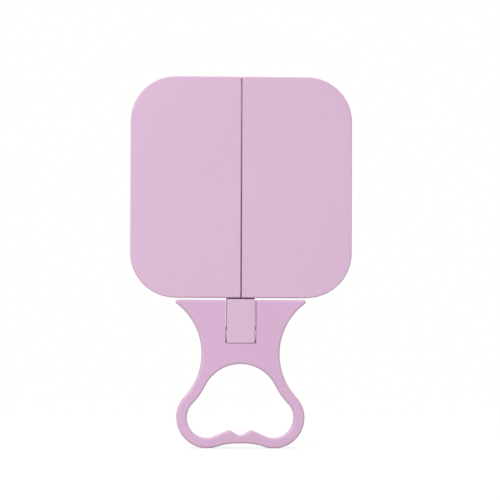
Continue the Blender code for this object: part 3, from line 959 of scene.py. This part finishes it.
def screw_places():
    """(level, side name, x, z) of each screw."""
    for side_name in SIDES:
        for level in SCREW_LEVELS:
            low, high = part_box(f"handle_screw_{level}_{side_name}")
            middle = (low + high) / 2
            yield level, side_name, middle.x, middle.z


def handle_cavity(floor_y, open_y, slot_floor):
    """Space inside one half of the handle, with room left for the slot, pin and screws."""
    cavity = prism("cavity", handle_outline(WALL), floor_y, open_y)
    low_y, high_y = min(floor_y, open_y) - PAST, max(floor_y, open_y) + PAST
    keep = [
        prism("grip_wall", grip_outline(WALL), low_y, high_y),
        box(
            "slot_wall",
            (-SLOT_HALF - WALL, low_y, slot_floor - WALL),
            (SLOT_HALF + WALL, high_y, EAR_TOP + PAST),
        ),
    ]
    for side in SIDES.values():
        ends = sorted((side * SLOT_HALF, side * PIN_BLOCK_END))
        keep.append(
            box(
                "pin_block",
                (ends[0], low_y, PIVOT_Z - PIN_BLOCK_HALF),
                (ends[1], high_y, PIVOT_Z + PIN_BLOCK_HALF),
            )
        )
    keep += [rod("boss", (x, z), BOSS_R, low_y, high_y, "Y") for _, _, x, z in screw_places()]
    return cut(cavity, *keep)


def front_floor(y):
    """Height of the slot's floor in the front half, at a place along Y."""
    return SLOT_FLOOR + min(SLOT_STEPS, key=lambda step: abs(step[0] - y))[1]


def rear_floor(y):
    return SLOT_FLOOR - FOLD_SLOPE * (y - PIVOT_Y)


def handle_half(name, parting_y, face_y, towards, floor_at, steps_at=(), beaded=False):
    """One moulded half of the handle, with its parting face at parting_y.

    The slot's floor is at floor_at(y) and has an edge at each of steps_at; beaded gives the
    parting face a bead.
    """
    slot_share = SLOT_ROUND / HANDLE_ROUND
    profile = bead(parting_y, -towards) if beaded else []
    profile += reversed(rounding(LIP_ROUND, parting_y, -towards, LIP_STEPS))
    profile += [(0.0, y) for y in steps_at]
    profile += rounding(HANDLE_ROUND, face_y, towards)
    rings = [(handle_outline(i, i * slot_share, floor_at(y)), y) for i, y in profile]
    half = loft(name, rings)
    grip = [(grip_outline(profile[0][0]), parting_y - towards * PAST)]
    grip += [(grip_outline(i), y) for i, y in profile]
    grip.append((grip_outline(HANDLE_ROUND), face_y + towards * PAST))
    return cut(half, loft("grip", grip))


def handle(looks):
    gap = GAP / 2
    steps_at = [y for y, _ in SLOT_STEPS]
    front = handle_half(
        "handle_front_shell_fine", PIVOT_Y - gap, FRONT_Y, -1, front_floor, steps_at
    )
    rear = handle_half(
        "handle_rear_shell_fine", PIVOT_Y + gap, BACK_Y, 1, rear_floor, beaded=True
    )
    pin_low, pin_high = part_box("handle_pivot_pin")
    bed = ((PIVOT_Y, PIVOT_Z), PIVOT_BORE_R, pin_low.x - GAP, pin_high.x + GAP, "X")
    places = list(screw_places())
    pilots = [
        rod("pilot", (x, z), SCREW_HOLE_R, PILOT_FLOOR_Y, PIVOT_Y + PAST, "Y")
        for _, _, x, z in places
    ]
    cut(front, handle_cavity(FRONT_Y + WALL, PIVOT_Y + PAST, SLOT_FLOOR))
    cut(front, rod("bed", *bed), *pilots)
    cut(rear, handle_cavity(BACK_Y - WALL, PIVOT_Y - PAST, rear_floor(BACK_Y)))
    cut(rear, rod("bed", *bed), *(stepped_hole((x, z)) for _, _, x, z in places))
    finish(front, "handle_front_shell", "handle", "handle_plastic", looks["handle"])
    finish(rear, "handle_rear_shell", "handle", "handle_plastic", looks["handle"])
    for level, side_name, x, z in places:
        screw(f"handle_screw_{level}_{side_name}", x, z, looks["screw_steel"])
    pin_r = (pin_high.z - pin_low.z) / 2
    edge = pin_r * PIVOT_PIN_EDGE
    pin = rod(
        "handle_pivot_pin_fine", (PIVOT_Y, PIVOT_Z), pin_r, pin_low.x, pin_high.x, "X", edge
    )
    finish(pin, "handle_pivot_pin", "handle", "steel", looks["pivot_steel"])
    for side_name in SIDES:
        washer(f"pivot_washer_{side_name}", looks["nylon"])


def stepped_hole(place):
    """Cutter for a screw's clearance hole and its counterbore, whose mouth is rounded."""
    mouth = rounding(LIP_ROUND, BACK_Y, 1, LIP_STEPS)
    profile = [
        (SCREW_HOLE_R, PIVOT_Y - PAST),
        (SCREW_HOLE_R, BACK_Y - COUNTERBORE_DEPTH),
        (COUNTERBORE_R, BACK_Y - COUNTERBORE_DEPTH),
    ]
    profile += [(COUNTERBORE_R + inset, y) for inset, y in mouth]
    profile.append((COUNTERBORE_R + LIP_ROUND, BACK_Y + PAST))
    return loft("hole", [(circle(place, r), y) for r, y in profile])


def screw(node, x, z, material):
    """Self-tapping screw with a rounded head and a cross recess."""
    low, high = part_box(node)
    head_r = (high.x - low.x) / 2
    head_y = high.y
    seat_y = head_y - SCREW_HEAD
    steps = range(DOME_FLAT_STEPS, BEND_STEPS + 1)
    angles = [math.radians(90 * i / BEND_STEPS) for i in steps]
    profile = [(head_r * math.sin(angles[0]), head_y)]
    profile += [
        (head_r * math.sin(a), seat_y + SCREW_HEAD * math.cos(a) ** DOME_POWER)
        for a in angles[1:]
    ]
    profile += [(SCREW_R, seat_y), (SCREW_R, low.y + SCREW_R), (SCREW_TIP * SCREW_R, low.y)]
    body = loft(f"{node}_fine", [(circle((x, z), r), y) for r, y in profile])
    floor_y = head_y - CROSS_DEPTH
    arms = ((CROSS_HALF, CROSS_WIDTH / 2), (CROSS_WIDTH / 2, CROSS_HALF))
    cut(
        body,
        *(
            box("cross", (x - half_x, floor_y, z - half_z), (x + half_x, PAST, z + half_z))
            for half_x, half_z in arms
        ),
    )
    finish(body, node, "handle", "steel", material)


def washer(node, material):
    """Flat washer with rounded edges."""
    low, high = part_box(node)
    outer = (high.z - low.z) / 2
    edge = (high.x - low.x) * WASHER_EDGE
    profile = rounded_ends(edge, low.x, high.x)
    centre = (PIVOT_Y, PIVOT_Z)
    rings = [(circle(centre, outer - i), x) for i, x in profile]
    rings += [(circle(centre, PIVOT_BORE_R + i), x) for i, x in reversed(profile)]
    ring = loft(f"{node}_fine", rings, axis="X", closed=True)
    finish(ring, node, "handle", "nylon", material)


# Studio

MIDDLE = (CAD_BOX[0] + CAD_BOX[1]) / 2
CAMERA_DISTANCE = 2.0
CAMERA_VIEW = 0.3718  # width seen at the front face
CAMERA_SHIFT = (0.0176, 0.0238)  # across and up, in frame widths
CAMERA_PITCH = -2.0  # degrees, as are the next two
CAMERA_YAW = 3.0
CAMERA_ROLL = 0.2
LIGHTS = {  # place, side length and watts
    "key": ((-0.7, -1.5, 0.75), 1.3, 20.6),
    "top": ((0.0, 0.1, 1.6), 2.2, 12.0),
    "back": ((0.5, 1.5, 0.8), 1.4, 8.0),
}
FLOOR_SIZE = 12.0
FLOOR_FADE = (0.45, 1.3)  # distances over which the floor runs out into white
FLOOR_PALE = 0.6  # share of plain white beside the mirror, which keeps the shadows light
WHITE = (1.0, 1.0, 0.99, 1.0)
SKY_LEVELS = (0.08, 0.85)  # below and above
SKY_HEIGHTS = (-0.25, 0.55)  # between which the sky goes from one to the other
SKY_SIDE = 0.7  # brightness of the right as a share of the left's
SKY_SIDES = (-0.8, 0.8)  # between which it dims, from left to right
DARK_SIDE = (-0.99, -0.92)  # cosines of the dark side's soft edge
DARK = (0.055, 0.012, 0.04, 1.0)  # of the dark side, which shows in the gaps
BOUNCE = 0.12  # share of the floor's white that lights the hand mirror
NEARBY = 0.95  # level of the nearby floor in the mirrors
HORIZON = 0.27  # level of the sky at the horizon, which the floor fades to in the mirrors
MIRRORED_FADE = (0.3, 3.0)  # distances over which it fades so
FIRST_BOUNCE = 2.5  # the sky sees a lower ray depth than this in a first reflection


def studio_floor():
    half = FLOOR_SIZE / 2
    bm = bmesh.new()
    corners = ((-half, -half), (half, -half), (half, half), (-half, half))
    bm.faces.new([bm.verts.new((x, y, CAD_BOX[0].z)) for x, y in corners])
    floor = link("studio_floor", bm)
    floor.data.materials.append(floor_paper())


def area_light(name, place, size, power):
    """Square light that shines on the middle of the hand mirror."""
    data = bpy.data.lights.new(name, "AREA")
    data.shape = "SQUARE"
    data.size = size
    data.energy = power
    light = bpy.data.objects.new(name, data)
    light.location = place
    light.rotation_euler = (MIDDLE - Vector(place)).to_track_quat("-Z", "Y").to_euler()
    bpy.context.scene.collection.objects.link(light)


def studio_world():
    """Even white seen by the camera; a sky that is bright above and dim below lights the mirror.

    The photographer's side is dark for all but a first reflection, which keeps the seam and the
    gaps dark and the open mirrors pale.
    """
    world = bpy.data.worlds.new("studio")
    world.use_nodes = True
    tree = world.node_tree
    tree.nodes.clear()
    towards = add(tree, "ShaderNodeTexCoord").outputs["Generated"]
    parts = add(tree, "ShaderNodeSeparateXYZ", {"Vector": towards})
    height = spread(tree, parts.outputs["Z"], *SKY_LEVELS, *SKY_HEIGHTS)
    across = spread(tree, parts.outputs["X"], 1.0, SKY_SIDE, *SKY_SIDES)
    level = calculate(tree, "MULTIPLY", height, across)
    seen = add(tree, "ShaderNodeBackground", {"Color": WHITE, "Strength": 1.0})
    sky = add(tree, "ShaderNodeBackground", {"Color": WHITE, "Strength": level})
    dark = add(tree, "ShaderNodeBackground", {"Color": DARK, "Strength": 1.0})
    open_side = spread(tree, parts.outputs["Y"], 0.0, 1.0, *DARK_SIDE)
    ray = add(tree, "ShaderNodeLightPath").outputs
    first_bounce = calculate(tree, "LESS_THAN", ray["Ray Depth"], FIRST_BOUNCE)
    mirrored_once = calculate(tree, "MULTIPLY", ray["Is Glossy Ray"], first_bounce)
    open_side = calculate(tree, "MAXIMUM", open_side, mirrored_once)
    around = add(
        tree, "ShaderNodeMixShader", {0: open_side, 1: dark.outputs[0], 2: sky.outputs[0]}
    )
    mixed = add(
        tree,
        "ShaderNodeMixShader",
        {0: ray["Is Camera Ray"], 1: around.outputs[0], 2: seen.outputs[0]},
    )
    add(tree, "ShaderNodeOutputWorld", {"Surface": mixed.outputs[0]})
    bpy.context.scene.world = world


def studio_camera():
    """Long lens a little off the mirror's axis, whose picture is shifted to place the mirror."""
    data = bpy.data.cameras.new("camera")
    data.lens = data.sensor_width * CAMERA_DISTANCE / CAMERA_VIEW
    data.shift_x, data.shift_y = CAMERA_SHIFT
    roll = Matrix.Rotation(math.radians(CAMERA_ROLL), 3, "Y")
    pitch = Matrix.Rotation(math.radians(CAMERA_PITCH), 3, "X")
    yaw = Matrix.Rotation(math.radians(CAMERA_YAW), 3, "Z")
    turn = (roll @ pitch @ yaw).transposed()
    camera = bpy.data.objects.new("camera", data)
    aimed_at = Vector((MIDDLE.x, FRONT_Y, MIDDLE.z))
    camera.location = aimed_at + turn @ Vector((0, -CAMERA_DISTANCE, 0))
    upright = Matrix.Rotation(math.radians(90), 3, "X")
    camera.rotation_euler = (turn @ upright).to_euler()
    bpy.context.scene.collection.objects.link(camera)
    bpy.context.scene.camera = camera


def studio():
    studio_floor()
    studio_world()
    for name, (place, size, power) in LIGHTS.items():
        area_light(name, place, size, power)
    studio_camera()
    bpy.context.scene.view_settings.view_transform = "Standard"


def main():
    looks = {
        "lilac": plastic("lilac_plastic", LILAC),
        # the handle's plastic is the lilac with painted shade, a little darker than the head's
        "handle": plastic("handle_plastic", SHADED_HANDLE_LILAC),
        "glass": (mirror_face(), glass_edge(), glass_backing()),
        "foam": foam(),
        "pin_steel": steel("hinge_pin_steel", "Z"),
        "pivot_steel": steel("pivot_pin_steel", "X"),
        "screw_steel": steel("screw_steel", "Y"),
        "nylon": nylon(),
    }
    centre_tray(looks["lilac"])
    centre_panel(looks)
    hinge_pins(looks["pin_steel"])
    for side_name, side in SIDES.items():
        door(side_name, side, looks)
    handle(looks)
    studio()


main()
